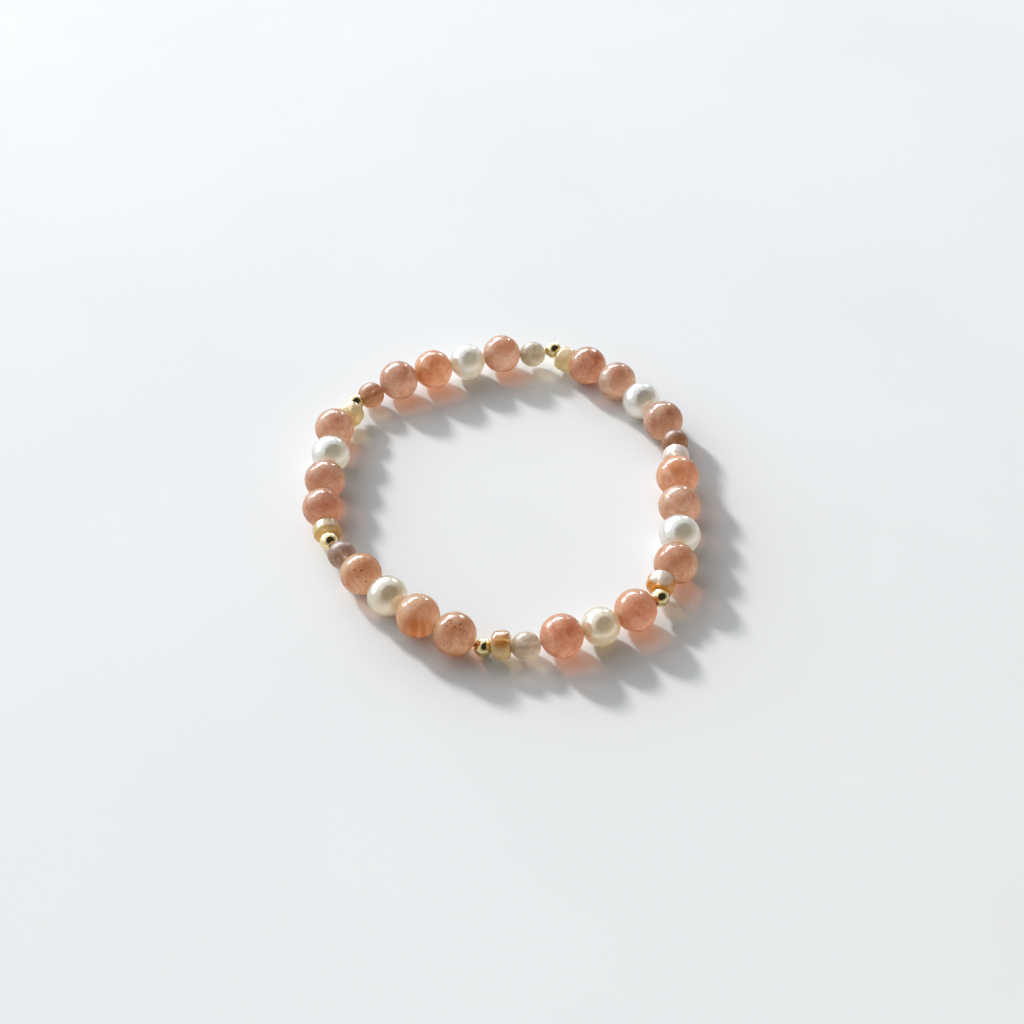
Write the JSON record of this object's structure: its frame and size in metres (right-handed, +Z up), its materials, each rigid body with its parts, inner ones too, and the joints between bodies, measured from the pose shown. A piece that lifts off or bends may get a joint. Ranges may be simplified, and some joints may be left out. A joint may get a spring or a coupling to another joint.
{
  "type": "beaded stretch bracelet",
  "caption": "Stretch bracelet of round peach stones and pearls with small grey, gold and glass spacer beads, lying flat as an oval loop.",
  "frame": {"origin": "on the surface that the bracelet lies on, under the middle of the loop", "axes": "+Z up out of the plane of the loop; +Y along the loop's longer width, away from the wearer's view of its front; +X to the right"},
  "size_m": [0.0592, 0.067, 0.0064],
  "materials": {
    "peach_stone": "polished",
    "pearl": "gloss",
    "grey_stone": "polished",
    "gold": "polished",
    "seed_glass": "gloss",
    "elastic": "gloss"
  },
  "bodies": {
    "root": {"stone_1": "peach_stone", "stone_2": "peach_stone", "pearl_1": "pearl", "stone_3": "peach_stone", "grey_bead_1": "grey_stone", "stone_4": "peach_stone", "stone_5": "peach_stone", "pearl_2": "pearl", "stone_6": "peach_stone", "grey_bead_2": "grey_stone", "stone_7": "peach_stone", "stone_8": "peach_stone", "pearl_3": "pearl", "stone_9": "peach_stone", "grey_bead_3": "grey_stone", "stone_10": "peach_stone", "stone_11": "peach_stone", "pearl_4": "pearl", "stone_12": "peach_stone", "grey_bead_4": "grey_stone", "stone_13": "peach_stone", "stone_14": "peach_stone", "pearl_5": "pearl", "stone_15": "peach_stone", "stone_16": "peach_stone", "pearl_6": "pearl", "stone_17": "peach_stone", "grey_bead_5": "grey_stone", "thread_front_left": "elastic", "spacers_left": "gold", "thread_left": "elastic", "spacers_back_left": "gold", "thread_back_left": "elastic", "spacers_back": "gold", "thread_back_right": "elastic", "spacers_right": "seed_glass", "thread_right": "elastic", "spacers_front_right": "gold", "thread_front_right": "elastic", "spacers_front": "gold"}
  },
  "joints": []
}
